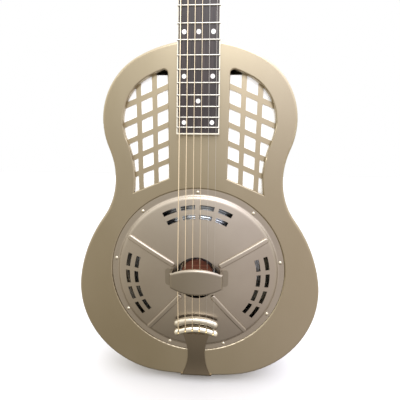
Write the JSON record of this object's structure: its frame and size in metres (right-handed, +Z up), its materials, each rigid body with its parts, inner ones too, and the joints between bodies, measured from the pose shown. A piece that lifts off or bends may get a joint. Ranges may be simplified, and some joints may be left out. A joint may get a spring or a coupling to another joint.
{
  "type": "resonator guitar",
  "caption": "Metal-bodied resonator guitar: domed coverplate over a spun cone, lattice windows, hand rest, tailpiece, and a slotted headstock with geared tuners.",
  "frame": {"origin": "seat of the strap button, in the middle of the body's tail end", "axes": "+Z up the neck, +X towards the treble side, -Y out of the front (the strings), +Y out of the back"},
  "size_m": [0.3658, 0.111, 1.0006],
  "materials": {
    "body_metal": "satin warm nickel over sheet metal, fine vertical brushing",
    "plate_metal": "satin aged nickel, slightly greyer than the body",
    "bright_metal": "polished nickel",
    "sound_cloth": "pale plain-weave cloth",
    "cone_aluminium": "bright spun aluminium",
    "biscuit_wood": "red-brown satin wood",
    "maple": "pale close-grained wood",
    "neck_wood": "dark red-brown satin lacquer",
    "board_wood": "dark oiled rosewood with streaks",
    "binding": "cream",
    "fret_metal": "polished nickel silver",
    "pearl": "white pearl",
    "bone": "polished bone",
    "veneer": "gloss black",
    "rod_steel": "plain steel",
    "wound_string": "phosphor bronze winding",
    "plain_string": "bright plain steel",
    "gear_brass": "machined brass",
    "button_plastic": "cream"
  },
  "bodies": {
    "instrument": {"body_top": "body_metal", "body_sides": "body_metal", "body_back": "body_metal", "sound_well": "body_metal", "grille_left": "body_metal", "grille_right": "body_metal", "sound_cloths": "sound_cloth", "coverplate": "plate_metal", "hand_rest": "plate_metal", "coverplate_screws": "bright_metal", "cone": "cone_aluminium", "biscuit": "biscuit_wood", "saddle": "maple", "biscuit_screw": "bright_metal", "tailpiece": "plate_metal", "tailpiece_cover": "bright_metal", "tailpiece_screws": "bright_metal", "strap_button": "bright_metal", "neck": "neck_wood", "fretboard": "board_wood", "fretboard_binding": "binding", "frets": "fret_metal", "position_dots": "pearl", "nut": "bone", "headstock_overlay": "veneer", "truss_rod": "rod_steel", "truss_rod_cover": "veneer", "truss_cover_screws": "bright_metal", "neck_stick": "neck_wood", "stick_supports": "maple", "heel_cap": "veneer", "wound_strings": "wound_string", "plain_strings": "plain_string", "tuner_plate_left": "bright_metal", "tuner_plate_right": "bright_metal", "tuner_plate_screws": "bright_metal"},
    "button_shaft_1": {"worm_1": "bright_metal", "button_1": "button_plastic"},
    "string_post_1": {"post_1": "bright_metal", "gear_1": "gear_brass"},
    "button_shaft_2": {"worm_2": "bright_metal", "button_2": "button_plastic"},
    "string_post_2": {"post_2": "bright_metal", "gear_2": "gear_brass"},
    "button_shaft_3": {"worm_3": "bright_metal", "button_3": "button_plastic"},
    "string_post_3": {"post_3": "bright_metal", "gear_3": "gear_brass"},
    "button_shaft_4": {"worm_4": "bright_metal", "button_4": "button_plastic"},
    "string_post_4": {"post_4": "bright_metal", "gear_4": "gear_brass"},
    "button_shaft_5": {"worm_5": "bright_metal", "button_5": "button_plastic"},
    "string_post_5": {"post_5": "bright_metal", "gear_5": "gear_brass"},
    "button_shaft_6": {"worm_6": "bright_metal", "button_6": "button_plastic"},
    "string_post_6": {"post_6": "bright_metal", "gear_6": "gear_brass"}
  },
  "joints": [
    {"name": "button_turn_1", "type": "hinge", "parent": "instrument", "child": "button_shaft_1", "pos_m": [-0.0345, -0.01651, 0.86147], "axis": [0, 0.9626, -0.2708], "continuous": true},
    {"name": "post_turn_1", "type": "hinge", "parent": "instrument", "child": "string_post_1", "pos_m": [-0.0345, -0.01868, 0.85377], "axis": [1, 0, 0], "continuous": true},
    {"name": "button_turn_2", "type": "hinge", "parent": "instrument", "child": "button_shaft_2", "pos_m": [-0.0345, -0.00703, 0.89516], "axis": [0, 0.9626, -0.2708], "continuous": true},
    {"name": "post_turn_2", "type": "hinge", "parent": "instrument", "child": "string_post_2", "pos_m": [-0.0345, -0.0092, 0.88746], "axis": [1, 0, 0], "continuous": true},
    {"name": "button_turn_3", "type": "hinge", "parent": "instrument", "child": "button_shaft_3", "pos_m": [-0.0345, 0.00244, 0.92885], "axis": [0, 0.9626, -0.2708], "continuous": true},
    {"name": "post_turn_3", "type": "hinge", "parent": "instrument", "child": "string_post_3", "pos_m": [-0.0345, 0.00028, 0.92115], "axis": [1, 0, 0], "continuous": true},
    {"name": "button_turn_4", "type": "hinge", "parent": "instrument", "child": "button_shaft_4", "pos_m": [0.0345, 0.00244, 0.92885], "axis": [0, 0.9626, -0.2708], "continuous": true},
    {"name": "post_turn_4", "type": "hinge", "parent": "instrument", "child": "string_post_4", "pos_m": [0.0345, 0.00028, 0.92115], "axis": [1, 0, 0], "continuous": true},
    {"name": "button_turn_5", "type": "hinge", "parent": "instrument", "child": "button_shaft_5", "pos_m": [0.0345, -0.00703, 0.89516], "axis": [0, 0.9626, -0.2708], "continuous": true},
    {"name": "post_turn_5", "type": "hinge", "parent": "instrument", "child": "string_post_5", "pos_m": [0.0345, -0.0092, 0.88746], "axis": [1, 0, 0], "continuous": true},
    {"name": "button_turn_6", "type": "hinge", "parent": "instrument", "child": "button_shaft_6", "pos_m": [0.0345, -0.01651, 0.86147], "axis": [0, 0.9626, -0.2708], "continuous": true},
    {"name": "post_turn_6", "type": "hinge", "parent": "instrument", "child": "string_post_6", "pos_m": [0.0345, -0.01868, 0.85377], "axis": [1, 0, 0], "continuous": true}
  ],
  "couplings": [
    {"joint": "post_turn_1", "follows": "button_turn_1", "ratio": 0.0625},
    {"joint": "post_turn_2", "follows": "button_turn_2", "ratio": 0.0625},
    {"joint": "post_turn_3", "follows": "button_turn_3", "ratio": 0.0625},
    {"joint": "post_turn_4", "follows": "button_turn_4", "ratio": 0.0625},
    {"joint": "post_turn_5", "follows": "button_turn_5", "ratio": 0.0625},
    {"joint": "post_turn_6", "follows": "button_turn_6", "ratio": 0.0625}
  ]
}
